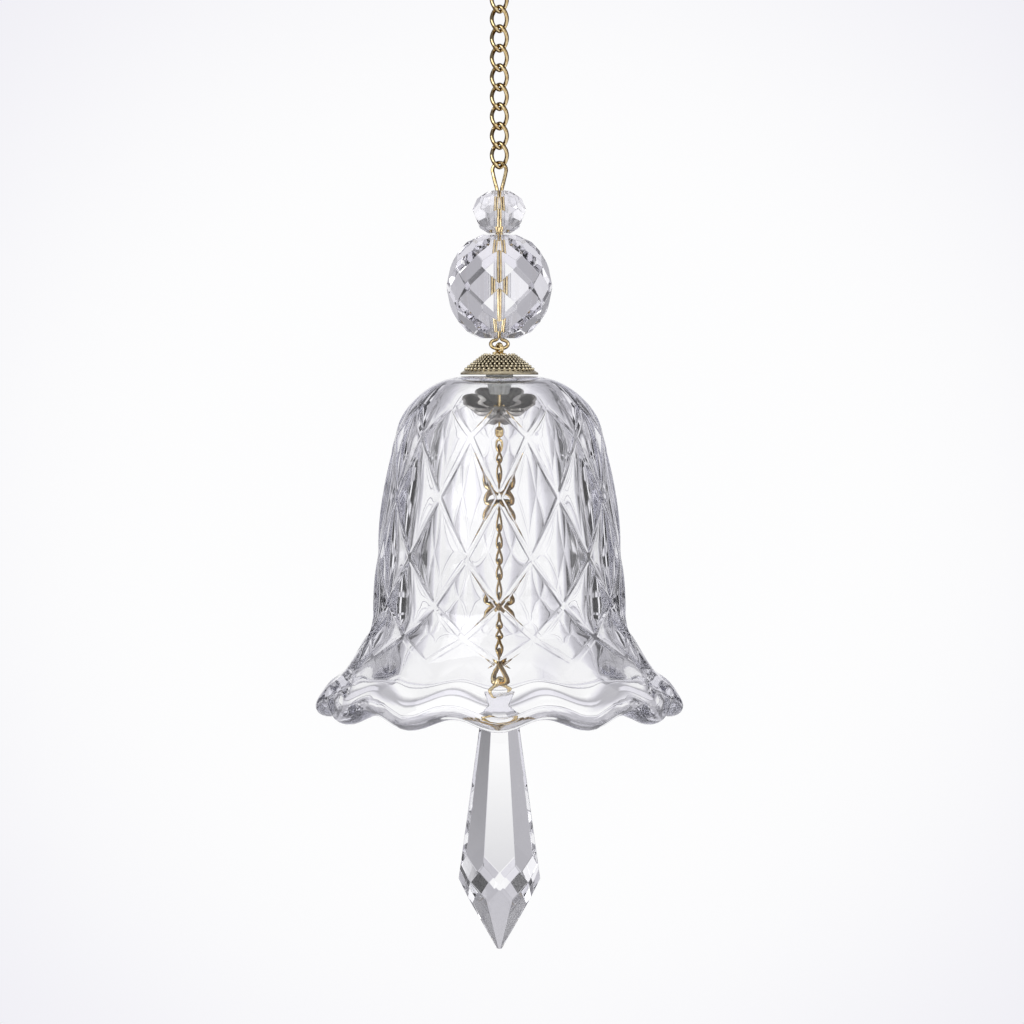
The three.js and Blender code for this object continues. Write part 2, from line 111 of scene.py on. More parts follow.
def addMath(tree, operation, *values):
    node = addNode(tree, "ShaderNodeMath", operation=operation)
    for value, socket in zip(values, node.inputs):
        feed(tree, value, socket)
    return node.outputs[0]


# a value moved from one span to another
def addRange(tree, value, start, end=(0.0, 1.0), **more):
    node = addNode(tree, "ShaderNodeMapRange", **more)
    labels = ("Value", "From Min", "From Max", "To Min", "To Max")
    for label, given in zip(labels, (value, *start, *end)):
        feed(tree, given, node.inputs[label])
    return node.outputs[0]


# a colour between two others
def addMix(tree, factor, first, second):
    node = addNode(tree, "ShaderNodeMix", data_type="RGBA")
    for value, place in ((factor, 0), (first, 6), (second, 7)):  # the sockets of the node's colour form
        feed(tree, value, node.inputs[place])
    return node.outputs[2]


# tones along a value from 0 to 1
def addRamp(tree, value, stops):
    node = addNode(tree, "ShaderNodeValToRGB")
    ramp = node.color_ramp
    while len(ramp.elements) > 1:
        ramp.elements.remove(ramp.elements[-1])
    for i, (position, colour) in enumerate(stops):
        stop = ramp.elements[0] if i == 0 else ramp.elements.new(position)
        stop.position = position
        stop.color = (*colour, 1.0)
    wire(tree, value, node.inputs[0])
    return node.outputs[0]


def grey(value, cool=0.0):
    return (value, value * (1 - cool / 4), value * (1 + cool))


# white studio: bright panels round the object with grey and dark gaps between them
studio = dict(
    centre=(0.985, 0.985, 0.99), corner=(0.868, 0.860, 0.912),  # the paper in the middle of the view and round it
    viewAxis=(0.0, 1.0, -0.037),
    vignette=(0.978, 0.9975),  # cosine of the angle from the view's axis
    swing=-2.5,  # the panels stand this many degrees off the main directions
    # tone at each angle in degrees from the nearest of four main directions
    panels=[
        (0, grey(1.0)), (5, grey(1.0)), (9, grey(0.82, 0.05)), (13, grey(0.54, 0.06)), (17.5, grey(0.46, 0.06)),
        (24.5, grey(0.44, 0.06)), (25.5, grey(0.17, 0.05)), (30, grey(0.16, 0.05)), (31, grey(0.88, 0.04)),
        (38, grey(0.78, 0.05)), (39, grey(0.50, 0.06)), (45, grey(0.46, 0.06))],
    # stronger contrast at the bell's height, and the share it has of the panels at each elevation
    sidePanels=[
        (0, grey(1.0)), (6, grey(1.0)), (9, grey(0.84, 0.05)), (12, grey(0.66, 0.06)), (16, grey(0.52, 0.06)),
        (19, grey(0.44, 0.06)), (21, grey(0.03, 0.05)), (40, grey(0.02, 0.05)), (41.5, grey(0.98, 0.03)),
        (45, grey(1.05, 0.02))],
    sideShare=[
        (-90, 0.0), (-8, 0.0), (-7, 1.0), (-0.2, 1.0), (0.4, 0.0), (3.5, 0.0), (4.5, 1.0), (10, 1.0), (11, 0.0),
        (90, 0.0)],
    panelEdge=(14.0, 18.0),  # elevation at which the panels end and the tones below take over
    # tone at each elevation, from the floor up
    below=[
        (-90, grey(0.45, 0.05)), (-42, grey(0.55, 0.05)), (-35, grey(0.80, 0.03)), (-30, grey(0.88, 0.05)),
        (-20, grey(0.86, 0.06)), (-18.5, grey(0.44, 0.06)), (14, grey(0.50, 0.06))],
    above=[(26, grey(0.56, 0.05)), (28, grey(0.55, 0.06)), (43, grey(0.55, 0.06))],
    cornerAbove=[(26, grey(0.50, 0.06)), (28, grey(0.24, 0.06)), (43, grey(0.24, 0.06))],
    ceiling=[(46, grey(0.16, 0.06)), (56, grey(0.14, 0.06)), (59, grey(0.95)), (90, grey(1.0))],
    cornerTurn=(10.0, 18.0),  # angle from a main direction over which the darker corners begin
)


def makeWorld():
    world = bpy.data.worlds.new("whiteStudio")
    scene.world = world
    world.use_nodes = True
    tree = world.node_tree
    tree.nodes.clear()
    direction = addNode(tree, "ShaderNodeTexCoord").outputs["Generated"]
    split = addNode(tree, "ShaderNodeSeparateXYZ")
    wire(tree, direction, split.inputs[0])

    # angle from the nearest main direction, and elevation, each from 0 to 1
    turn = addMath(tree, "ARCTAN2", split.outputs["Y"], split.outputs["X"])
    turn = addMath(tree, "ADD", turn, math.radians(studio["swing"]))
    fold = addMath(tree, "PINGPONG", turn, math.pi / 4)
    aside = addMath(tree, "MULTIPLY", fold, 4 / math.pi)
    lift = addMath(tree, "ARCSINE", split.outputs["Z"])
    rise = addRange(tree, lift, (-math.pi / 2, math.pi / 2))

    def byTurn(stops):
        return addRamp(tree, aside, [(angle / 45, colour) for angle, colour in stops])

    def byHeight(stops):
        return addRamp(tree, rise, [((angle + 90) / 180, colour) for angle, colour in stops])

    sideShare = byHeight([(angle, grey(share)) for angle, share in studio["sideShare"]])
    around = addMix(tree, sideShare, byTurn(studio["panels"]), byTurn(studio["sidePanels"]))
    middles = byHeight(studio["below"] + studio["above"] + studio["ceiling"])
    corners = byHeight(studio["below"] + studio["cornerAbove"] + studio["ceiling"])
    corner = addRange(tree, aside, [angle / 45 for angle in studio["cornerTurn"]])
    edge = [math.radians(angle) for angle in studio["panelEdge"]]
    beyond = addRange(tree, addMath(tree, "ABSOLUTE", lift), edge)
    room = addMix(tree, beyond, around, addMix(tree, corner, middles, corners))

    # what the camera sees: near white, a little lavender away from the middle
    axis = addNode(tree, "ShaderNodeVectorMath", operation="DOT_PRODUCT")
    wire(tree, direction, axis.inputs[0])
    axis.inputs[1].default_value = studio["viewAxis"]
    near = addRange(tree, axis.outputs["Value"], studio["vignette"], interpolation_type="SMOOTHSTEP")
    paper = addMix(tree, near, studio["corner"], studio["centre"])
    rays = addNode(tree, "ShaderNodeLightPath")
    light = addNode(tree, "ShaderNodeBackground", Strength=1.0)
    wire(tree, addMix(tree, rays.outputs["Is Camera Ray"], room, paper), light.inputs["Color"])
    out = addNode(tree, "ShaderNodeOutputWorld")
    wire(tree, light.outputs[0], out.inputs["Surface"])


makeWorld()
scene.view_settings.view_transform = "Standard"
scene.cycles.max_bounces = 32
scene.cycles.transmission_bounces = 32
scene.cycles.glossy_bounces = 12

lamps = dict(
    key=dict(place=(-420.0, -520.0, 260.0), size=600.0, watts=2.4),
    fill=dict(place=(480.0, -420.0, 60.0), size=560.0, watts=0.8),
)
lampAim = (0.0, 0.0, -110.0)  # half way down the object


def makeLamps():
    for name, lamp in lamps.items():
        data = bpy.data.lights.new(name, "AREA")
        data.shape = "SQUARE"
        data.size = lamp["size"] * mm
        data.energy = lamp["watts"]
        aimAt(bpy.data.objects.new(name, data), Vector(lamp["place"]) * mm, Vector(lampAim) * mm)


makeLamps()
print("camera, studio and lamps set")


def newGroup(name, inputs, outputs):
    group = bpy.data.node_groups.new(name, "ShaderNodeTree")
    for label, kind, value in inputs:
        socket = group.interface.new_socket(label, in_out="INPUT", socket_type=kind)
        socket.default_value = value
    for label, kind in outputs:
        group.interface.new_socket(label, in_out="OUTPUT", socket_type=kind)
    return group, addNode(group, "NodeGroupInput"), addNode(group, "NodeGroupOutput")


def objectNoise(tree, scale, detail, roughness):
    place = addNode(tree, "ShaderNodeTexCoord")
    noise = addNode(tree, "ShaderNodeTexNoise", Detail=detail, Roughness=roughness)
    wire(tree, place.outputs["Object"], noise.inputs["Vector"])
    wire(tree, scale, noise.inputs["Scale"])
    return noise.outputs["Fac"]


# faint smears and handling marks that break up a polish, and the spans of them that change gloss and tint
smears = dict(detail=5.0, roughness=0.6, gloss=(0.3, 0.7), tint=(0.35, 0.6))


def makePolishMarks():
    group, given, made = newGroup(
        "polishMarks",
        [("Scale", "NodeSocketFloat", 300.0), ("Low", "NodeSocketFloat", 0.1),
         ("High", "NodeSocketFloat", 0.3)],
        [("Roughness", "NodeSocketFloat"), ("Marks", "NodeSocketFloat")],
    )
    smear = objectNoise(group, given.outputs["Scale"], smears["detail"], smears["roughness"])
    rough = addRange(group, smear, smears["gloss"], (given.outputs["Low"], given.outputs["High"]))
    wire(group, rough, made.inputs["Roughness"])
    wire(group, smear, made.inputs["Marks"])
    return group


# dark tarnish left in the recesses of worn plate, mixed with the painted shade and painted highlights that the
# piece's brightness mark carries
blotches = dict(detail=6.0, roughness=0.65, middle=0.5, strength=0.7, dull=0.55)


def makeTarnish():
    group, given, made = newGroup(
        "tarnish",
        [("Bright", "NodeSocketColor", (0.8, 0.7, 0.4, 1)), ("Dark", "NodeSocketColor", (0.1, 0.08, 0.05, 1)),
         ("Proud", "NodeSocketFloat", 1.0), ("Scale", "NodeSocketFloat", 900.0),
         ("Polish", "NodeSocketFloat", 0.2)],
        [("Color", "NodeSocketColor"), ("Roughness", "NodeSocketFloat"), ("Height", "NodeSocketFloat")],
    )
    blotch = objectNoise(group, given.outputs["Scale"], blotches["detail"], blotches["roughness"])
    lift = addMath(group, "SUBTRACT", blotch, blotches["middle"])
    worn = addMath(group, "MULTIPLY_ADD", lift, blotches["strength"], given.outputs["Proud"])
    worn.node.use_clamp = True
    colour = addMix(group, worn, given.outputs["Dark"], given.outputs["Bright"])
    rough = addRange(group, worn, (0.0, 1.0), (blotches["dull"], given.outputs["Polish"]))
    wire(group, colour, made.inputs["Color"])
    wire(group, rough, made.inputs["Roughness"])
    wire(group, blotch, made.inputs["Height"])
    return group


polishMarks = makePolishMarks()
tarnish = makeTarnish()


def newMaterial(name):
    material = bpy.data.materials.new(name)
    material.use_nodes = True
    tree = material.node_tree
    tree.nodes.clear()
    shader = addNode(tree, "ShaderNodeBsdfPrincipled")
    out = addNode(tree, "ShaderNodeOutputMaterial")
    wire(tree, shader.outputs[0], out.inputs["Surface"])
    return material, tree, shader, out


def placeGroup(tree, group, **values):
    node = tree.nodes.new("ShaderNodeGroup")
    node.node_tree = group
    for key, value in values.items():
        feed(tree, value, node.inputs[key])
    return node


# smears that set the gloss of a surface between two values
def placeMarks(tree, shader, scale, rough):
    marks = placeGroup(tree, polishMarks, Scale=scale, Low=rough[0], High=rough[1])
    wire(tree, marks.outputs["Roughness"], shader.inputs["Roughness"])
    return marks.outputs["Marks"]


def addBump(tree, shader, height, strength, distance):
    bump = addNode(tree, "ShaderNodeBump", Strength=strength, Distance=distance)
    wire(tree, height, bump.inputs["Height"])
    wire(tree, bump.outputs[0], shader.inputs["Normal"])


goldPlate = dict(
    # the brown is painted shade for the wires' edges, standing in for the dark room they reflect
    deep=(0.74, 0.53, 0.24), bright=(0.96, 0.80, 0.46), brown=(0.16, 0.096, 0.034),
    aslant=(0.20, 0.13, 0.06),  # browner where the wire turns away
    rim=(0.06, 0.42), scale=1400.0, rough=(0.03, 0.09), bump=(0.15, 0.000006),
)


def makeGold():
    material, tree, shader, _ = newMaterial("goldPlate")
    shader.inputs["Metallic"].default_value = 1.0
    shader.inputs["Specular Tint"].default_value = (*goldPlate["aslant"], 1)
    marks = placeMarks(tree, shader, goldPlate["scale"], goldPlate["rough"])
    tone = addMix(tree, addRange(tree, marks, smears["tint"]), goldPlate["deep"], goldPlate["bright"])
    # painted shade: the sides of a bent wire that face across its own plane are painted brown, standing in for
    # the dark room they reflect; its faces keep the plate's colour
    edge = addNode(tree, "ShaderNodeAttribute", attribute_name="edge")
    rim = addRange(tree, edge.outputs["Fac"], goldPlate["rim"], interpolation_type="SMOOTHSTEP")
    wire(tree, addMix(tree, rim, tone, goldPlate["brown"]), shader.inputs["Base Color"])
    addBump(tree, shader, marks, *goldPlate["bump"])
    return material


antique = dict(scale=1600.0, bump=(0.25, 0.00005))


def makeAntique(name, bright, dark, polish):
    material, tree, shader, _ = newMaterial(name)
    shader.inputs["Metallic"].default_value = 1.0
    worn = placeGroup(tree, tarnish, Bright=bright, Dark=dark, Scale=antique["scale"], Polish=polish)
    # the mark brings patina in hollows, painted shade and painted highlights
    proud = addNode(tree, "ShaderNodeAttribute", attribute_name="proud")
    wire(tree, proud.outputs["Fac"], worn.inputs["Proud"])
    wire(tree, worn.outputs["Color"], shader.inputs["Base Color"])
    wire(tree, worn.outputs["Roughness"], shader.inputs["Roughness"])
    addBump(tree, shader, worn.outputs["Height"], *antique["bump"])
    return material


# clear glass: a faint ripple from the mould or the polishing wheel, and a lavender cast through its depth
def makeGlass(name, scale, ripple, rough, cast, depth, ior=1.5, milk=(1, 1, 1), clear=1.0):
    material, tree, shader, out = newMaterial(name)
    shader.inputs["Base Color"].default_value = (*milk, 1)
    shader.inputs["Metallic"].default_value = 0.0
    shader.inputs["Transmission Weight"].default_value = clear
    shader.inputs["IOR"].default_value = ior
    addBump(tree, shader, placeMarks(tree, shader, scale, rough), 1.0, ripple)
    body = addNode(tree, "ShaderNodeVolumeAbsorption", Density=depth)
    body.inputs["Color"].default_value = (*cast, 1)
    wire(tree, body.outputs[0], out.inputs["Volume"])
    return material


# floor well below the hanging object; it shows as the same paper as the backdrop,
# with a part of its own shade so that shadows stay, and no edge
floor = dict(
    level=-600.0, half=900.0, scale=3.0, rough=(0.7, 0.85),
    tones=((0.80, 0.80, 0.82), (0.84, 0.84, 0.85)),
    paperShare=(0.85, 1.0),  # under the object, at the floor's edge
    fade=(450.0, 860.0),     # distance from the middle over which the share grows
)


def makeFloorCoat():
    material, tree, shader, out = newMaterial("paleFloor")
    marks = placeMarks(tree, shader, floor["scale"], floor["rough"])
    wire(tree, addMix(tree, addRange(tree, marks, smears["tint"]), *floor["tones"]), shader.inputs["Base Color"])
    paper = addNode(tree, "ShaderNodeEmission", Strength=1.0)
    paper.inputs["Color"].default_value = (*studio["corner"], 1)
    rays = addNode(tree, "ShaderNodeLightPath")
    seen = rays.outputs["Is Camera Ray"]
    for kind in ("Is Glossy Ray", "Is Transmission Ray"):
        seen = addMath(tree, "MAXIMUM", seen, rays.outputs[kind])
    place = addNode(tree, "ShaderNodeTexCoord")
    reach = addNode(tree, "ShaderNodeVectorMath", operation="LENGTH")
    wire(tree, place.outputs["Object"], reach.inputs[0])
    fade = [math.hypot(distance, floor["level"]) * mm for distance in floor["fade"]]
    share = addRange(tree, reach.outputs["Value"], fade, floor["paperShare"])
    share = addMath(tree, "MULTIPLY", seen, share)
    mix = addNode(tree, "ShaderNodeMixShader")
    for start, end in zip((share, shader.outputs[0], paper.outputs[0]), mix.inputs):
        wire(tree, start, end)
    wire(tree, mix.outputs[0], out.inputs["Surface"])
    return material


gold = makeGold()
antiqueGold = makeAntique("antiqueGold", bright=(1.0, 0.90, 0.64), dark=(0.12, 0.088, 0.056), polish=0.12)
antiqueSilver = makeAntique("antiqueSilver", bright=(0.66, 0.64, 0.61), dark=(0.25, 0.24, 0.235), polish=0.5)
bellGlass = makeGlass("bellGlass", scale=90.0, ripple=0.000004, rough=(0.0, 0.012), cast=(0.80, 0.80, 0.85),
                      depth=25.0)
beadCrystal = makeGlass("beadCrystal", scale=500.0, ripple=0.000002, rough=(0.0, 0.01), cast=(0.80, 0.79, 0.84),
                        depth=15.0)
dropCrystal = makeGlass("dropCrystal", scale=400.0, ripple=0.000002, rough=(0.0, 0.01), cast=(0.80, 0.80, 0.84),
                        depth=15.0)
clearPlastic = makeGlass("clearPlastic", scale=700.0, ripple=0.00004, rough=(0.12, 0.30), cast=(0.60, 0.64, 0.57),
                         depth=30.0, ior=1.49, milk=(0.93, 0.95, 0.90), clear=0.3)
floorCoat = makeFloorCoat()
print("materials made")


def makeFloor():
    bm = bmesh.new()
    bmesh.ops.create_grid(bm, x_segments=1, y_segments=1, size=floor["half"] * mm)
    bmesh.ops.translate(bm, verts=bm.verts, vec=(0, 0, floor["level"] * mm))
    mesh = bpy.data.meshes.new("floor")
    bm.to_mesh(mesh)
    bm.free()
    mesh.materials.append(floorCoat)
    piece = bpy.data.objects.new("floor", mesh)
    scene.collection.objects.link(piece)


makeFloor()

weld = 1e-4  # vertices nearer than this, in millimetres, become one
cutWeld = 1e-5


# pieces are drawn in millimetres and scaled to metres here
def addPiece(name, bm, body, material, nodes, sharp=30.0):
    bm.transform(Matrix.Scale(mm, 4))
    mesh = bpy.data.meshes.new(name)
    bm.to_mesh(mesh)
    bm.free()
    mesh.shade_smooth()
    mesh.set_sharp_from_angle(angle=math.radians(sharp))
    mesh.materials.append(material)
    piece = bpy.data.objects.new(name, mesh)
    scene.collection.objects.link(piece)
    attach(piece, body)
    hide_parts(*nodes)
    return piece


# a round wire along a path; returned as a bmesh so that wires can be put together
def bentWire(points, thickness, closed=True, smooth=True, steps=8, sides=4):
    curve = bpy.data.curves.new("path", "CURVE")
    curve.dimensions = "3D"
    curve.bevel_depth = thickness / 2
    curve.bevel_resolution = sides
    curve.resolution_u = steps
    curve.use_fill_caps = not closed
    if smooth:
        spline = curve.splines.new("BEZIER")
        spline.bezier_points.add(len(points) - 1)
        for knot, point in zip(spline.bezier_points, points):
            knot.co = point
            knot.handle_left_type = knot.handle_right_type = "AUTO"
    else:
        spline = curve.splines.new("POLY")
        spline.points.add(len(points) - 1)
        for knot, point in zip(spline.points, points):
            knot.co = (*point, 1.0)
    spline.use_cyclic_u = closed
    holder = bpy.data.objects.new("path", curve)
    scene.collection.objects.link(holder)
    mesh = bpy.data.meshes.new_from_object(holder.evaluated_get(bpy.context.evaluated_depsgraph_get()))
    bm = bmesh.new()
    bm.from_mesh(mesh)
    bmesh.ops.remove_doubles(bm, verts=bm.verts, dist=weld)
    bmesh.ops.recalc_face_normals(bm, faces=bm.faces)
    bpy.data.objects.remove(holder)
    bpy.data.curves.remove(curve)
    bpy.data.meshes.remove(mesh)
    return bm


# marks how far each side of a bent wire faces along the wire's own plane, which is where the gold gets its
# painted shade;
# the plane stands at an angle that may vary with height
def markShadedEdges(bm, angleAt):
    layer = bm.verts.layers.float.new("edge")
    bm.normal_update()
    for vert in bm.verts:
        angle = angleAt(vert.co.z)
        vert[layer] = 1 - abs(vert.normal.y * math.cos(angle) - vert.normal.x * math.sin(angle))
    return bm


def joinInto(bm, other):
    spare = bpy.data.meshes.new("spare")
    other.to_mesh(spare)
    other.free()
    bm.from_mesh(spare)
    bpy.data.meshes.remove(spare)


def turned(points, angle):
    return [Vector((x * math.cos(angle), x * math.sin(angle), z)) for x, z in points]


def smoothstep(low, high, value):
    share = min(max((value - low) / (high - low), 0.0), 1.0)
    return share * share * (3 - 2 * share)


# value at a place along a list of (place, value) pairs
def between(pairs, place):
    for (a, first), (b, second) in zip(pairs, pairs[1:]):
        if place <= b:
            return first + (second - first) * (place - a) / (b - a)
    return pairs[-1][1]


def cutFacets(bm, planes):
    for normal, distance in planes:
        geom = bm.verts[:] + bm.edges[:] + bm.faces[:]
        cut = bmesh.ops.bisect_plane(
            bm, geom=geom, dist=cutWeld, plane_co=normal * distance, plane_no=normal, clear_outer=True)
        rim = [e for e in cut["geom_cut"] if isinstance(e, bmesh.types.BMEdge)]
        if rim:
            bmesh.ops.contextual_create(bm, geom=rim)
    bmesh.ops.remove_doubles(bm, verts=bm.verts, dist=weld)


def softEdges(bm, width, leastAngle=0.05):
    edges = [e for e in bm.edges if e.is_manifold and e.calc_face_angle(0.0) > leastAngle]
    bmesh.ops.bevel(bm, geom=edges, offset=width, offset_type="OFFSET", segments=2, profile=0.5,
                    affect="EDGES", material=-1, clamp_overlap=True)


# drills a round hole through a bmesh along a line
def drill(bm, radius, length, matrix, sides):
    tool = bmesh.new()
    bmesh.ops.create_cone(tool, cap_ends=True, segments=sides, radius1=radius, radius2=radius,
                          depth=length, matrix=matrix)
    blank = bpy.data.objects.new("blank", bpy.data.meshes.new("blank"))
    cutter = bpy.data.objects.new("cutter", bpy.data.meshes.new("cutter"))
    bm.to_mesh(blank.data)
    bm.free()
    tool.to_mesh(cutter.data)
    tool.free()
    for part in (blank, cutter):
        scene.collection.objects.link(part)
    cut = blank.modifiers.new("cut", "BOOLEAN")
    cut.operation = "DIFFERENCE"
    cut.solver = "EXACT"
    cut.object = cutter
    mesh = bpy.data.meshes.new_from_object(blank.evaluated_get(bpy.context.evaluated_depsgraph_get()))
    done = bmesh.new()
    done.from_mesh(mesh)
    for part in (blank, cutter):
        spare = part.data
        bpy.data.objects.remove(part)
        bpy.data.meshes.remove(spare)
    bpy.data.meshes.remove(mesh)
    return done


# an outline of (radius, height) pairs revolved about the axis
def spinProfile(profile, level, steps, closed=True):
    bm = bmesh.new()
    line = [bm.verts.new((0, -radius, level + height)) for radius, height in profile]
    pairs = zip(line, line[1:] + line[:1]) if closed else zip(line, line[1:])
    edges = [bm.edges.new(pair) for pair in pairs]
    bmesh.ops.spin(bm, geom=line + edges, cent=(0, 0, 0), axis=(0, 0, 1), dvec=(0, 0, 0),
                   angle=2 * math.pi, steps=steps, use_merge=True)
    bmesh.ops.remove_doubles(bm, verts=bm.verts, dist=weld)
    bmesh.ops.recalc_face_normals(bm, faces=bm.faces)
    return bm


rings = dict(hangWire=1.2, hangBore=9.6, jumpWire=0.8, jumpBore=4.4, slit=4.0, jumpTurn=45.0)


def ringPoints(radius, centre, turn, gap=0.0, steps=64):
    count = steps if gap == 0 else steps + 1
    sweep = 360.0 - gap
    points = []
    for i in range(count):
        angle = math.radians(90.0 + gap / 2 + sweep * i / steps)
        points.append((radius * math.cos(angle), centre + radius * math.sin(angle)))
    return turned(points, turn)


hangRadius = (rings["hangBore"] + rings["hangWire"]) / 2
hangCentre = nodeTop("hanging_ring") - hangRadius - rings["hangWire"] / 2
hangRing = bentWire(ringPoints(hangRadius, hangCentre, 0.0), rings["hangWire"], smooth=False)
addPiece("hangingRing", hangRing, "hanging_ring", gold, ["hanging_ring"])
jumpRadius = (rings["jumpBore"] + rings["jumpWire"]) / 2
jumpPath = ringPoints(jumpRadius, nodeMiddle("jump_ring"), math.radians(rings["jumpTurn"]), rings["slit"])
jumpRing = bentWire(jumpPath, rings["jumpWire"], closed=False, smooth=False)
addPiece("jumpRing", jumpRing, "jump_ring", gold, ["jump_ring"])

curb = dict(wire=0.78, width=3.65, reach=2.315, twist=90.0, innerTurn=-67.5, steps=60)


def curbLink(centre, turn):
    half = (curb["width"] - curb["wire"]) / 2
    points = []
    for i in range(curb["steps"]):
        along = 2 * math.pi * i / curb["steps"]
        rise, side = math.cos(along), half * math.sin(along)
        angle = -math.radians(curb["twist"] / 2) * rise + turn
        points.append(Vector((side * math.cos(angle), side * math.sin(angle), centre + curb["reach"] * rise)))
    bend = math.radians(curb["twist"] / 2) / curb["reach"]
    # the link's edges get the gold's painted shade
    return markShadedEdges(bentWire(points, curb["wire"], smooth=False), lambda z: turn - bend * (z - centre))


for chainName, turn in (("chain_link", 0.0), ("inner_link", math.radians(curb["innerTurn"]))):
    for node in sorted(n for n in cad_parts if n.startswith(chainName)):
        link = curbLink(nodeMiddle(node), turn)
        label = chainName.replace("_l", "L") + node[-2:]
        addPiece(label, link, node, gold, [node])
print("rings and chains made")

# wire bent like a hairpin: an upper eye, two legs through the beads and a round lower eye
hairpin = dict(
    wire=0.7, twist=-30.0,
    eyeWidth=3.5, eyeLength=5.35, eyeDip=25.0, eyeSteps=8,  # the eye's arc ends this far below its middle
    legGap=0.06, legShares=(0.35, 0.65, 0.9), legStart=0.7,
    lowWidth=4.0, lowHeight=2.5, lowArc=314.0, lowSteps=12,
)


def beadWire():
    leg = (hairpin["wire"] + hairpin["legGap"]) / 2
    eye = (hairpin["eyeWidth"] - hairpin["wire"]) / 2
    top = nodeTop("bead_wire") - hairpin["wire"] / 2
    low = nodeBottom("bead_wire") + hairpin["wire"] / 2
    lowHalf = (hairpin["lowHeight"] - hairpin["wire"]) / 2
    lowWide = (hairpin["lowWidth"] - hairpin["wire"]) / 2
    legTop = top - hairpin["eyeLength"]
    beadMiddle = (nodeTop("small_bead") + nodeBottom("large_bead")) / 2
    beadLow = nodeBottom("large_bead")
    path = []
    for i in range(hairpin["eyeSteps"] + 1):
        angle = math.radians((180 + 2 * hairpin["eyeDip"]) * i / hairpin["eyeSteps"] - hairpin["eyeDip"])
        path.append((eye * math.cos(angle), top - eye + eye * math.sin(angle)))
    dip = math.radians(hairpin["eyeDip"])
    side, foot = eye * math.cos(dip), top - eye - eye * math.sin(dip)
    legs = [(side + (leg - side) * share, foot + (legTop - foot) * share) for share in hairpin["legShares"]]
    legs += [(leg, legTop - hairpin["legStart"]), (leg, beadMiddle), (leg, beadLow)]
    path += [(-x, z) for x, z in legs]
    for i in range(hairpin["lowSteps"] + 1):
        angle = math.radians(270 - hairpin["lowArc"] / 2 + hairpin["lowArc"] * i / hairpin["lowSteps"])
        path.append((lowWide * math.cos(angle), low + lowHalf + lowHalf * math.sin(angle)))
    path += legs[::-1]

    def angleAt(z):
        return math.radians(hairpin["twist"]) * min(max((z - legTop) / hairpin["eyeLength"], 0.0), 1.0)

    points = [Vector((x * math.cos(angleAt(z)), x * math.sin(angleAt(z)), z)) for x, z in path]
    # the hairpin's edges get the gold's painted shade
    return markShadedEdges(bentWire(points, hairpin["wire"], steps=10), angleAt)


addPiece("beadWire", beadWire(), "bead_wire", gold, ["bead_wire"])

smallBead = dict(width=10.2, height=8.1, sides=8, rows=(-56.0, -20.0, 20.0, 56.0), turn=22.5, soft=0.05)
largeBead = dict(width=20.0, height=19.6, sides=9, rows=(-66.0, -44.0, -22.0, 0.0, 22.0, 44.0, 66.0),
                 turn=-10.0, soft=0.06)
beadFit = dict(blank=4.0, endFlat=0.93, bore=2.2, boreSides=96, sharp=4.0)


def cutBead(bead, middle):
    planes = []
    for row, latitude in enumerate(bead["rows"]):
        flat = math.cos(math.radians(latitude))
        for i in range(bead["sides"]):
            around = (i + (row % 2) / 2) / bead["sides"] * 2 * math.pi + math.radians(bead["turn"])
            planes.append((Vector((flat * math.cos(around), flat * math.sin(around),
                                   math.sin(math.radians(latitude)))), 1.0))
    bm = bmesh.new()
    bmesh.ops.create_cube(bm, size=beadFit["blank"])
    cutFacets(bm, [(Vector((0, 0, 1)), beadFit["endFlat"]), (Vector((0, 0, -1)), beadFit["endFlat"])])
    cutFacets(bm, planes)
    xs = [v.co.x for v in bm.verts]
    ys = [v.co.y for v in bm.verts]
    across = bead["width"] / max(max(xs) - min(xs), max(ys) - min(ys))
    bmesh.ops.scale(bm, verts=bm.verts, vec=(across, across, bead["height"] / 2 / beadFit["endFlat"]))
    softEdges(bm, bead["soft"])
    bm = drill(bm, beadFit["bore"] / 2, 2 * bead["height"], Matrix.Identity(4), beadFit["boreSides"])
    bmesh.ops.translate(bm, verts=bm.verts, vec=(0, 0, middle))
    return bm


for name, bead, node in (("smallBead", smallBead, "small_bead"), ("largeBead", largeBead, "large_bead")):
    cut = cutBead(bead, nodeMiddle(node))
    addPiece(name, cut, node, beadCrystal, [node], sharp=beadFit["sharp"])
print("beads made")

# stamped cap: a solid hat with dark pits between beaded rays
cap = dict(
    rays=40, stepsPerRay=4, pit=0.42, ridge=0.1, facesUp=0.1,
    # outline of radius and height, over the top and back underneath
    outer=[(0.68, 2.95), (1.5, 2.95), (1.8, 3.05), (2.2, 3.45), (2.55, 3.72), (2.9, 3.78), (3.2, 3.66),
           (3.7, 3.3), (4.3, 2.84), (4.9, 2.36), (5.5, 1.88), (6.0, 1.46), (6.3, 1.18), (6.45, 1.02),
           (6.8, 0.74), (6.95, 0.64), (7.2, 0.5), (7.4, 0.36)],
    inner=[(7.4, 0.0), (6.9, 0.0), (5.5, 1.0), (4.0, 2.2), (2.6, 2.9), (1.6, 2.45), (0.68, 2.45)],
    pitRows=((3.2, 4.4), (4.5, 5.6), (5.7, 6.25), (6.6, 6.95)), pitShare=0.27,
    slope=(3.0, 6.4), dish=2.6,  # radii between which the rays stand, and inside which the dish lies
    # rows of small balls: radius, size and count
    granules=[(3.3, 0.19, 24), (3.78, 0.21, 28), (4.28, 0.22, 32), (4.8, 0.24, 36), (5.35, 0.26, 40),
              (5.9, 0.28, 40), (6.45, 0.29, 40)],
    crest=[(2.85, 0.26, 22), (2.3, 0.24, 18), (1.75, 0.2, 14)],
    ballLift=0.06,
    # how bright each place is: proud places are rubbed bright and hollows keep dark patina, with painted shade
    # under the cap and a painted highlight on the top of each ball
    proud=dict(top=0.55, under=0.1, slope=0.12, wave=0.2, dish=0.25, pit=-0.4, ball=0.8, ballTop=0.4),
)


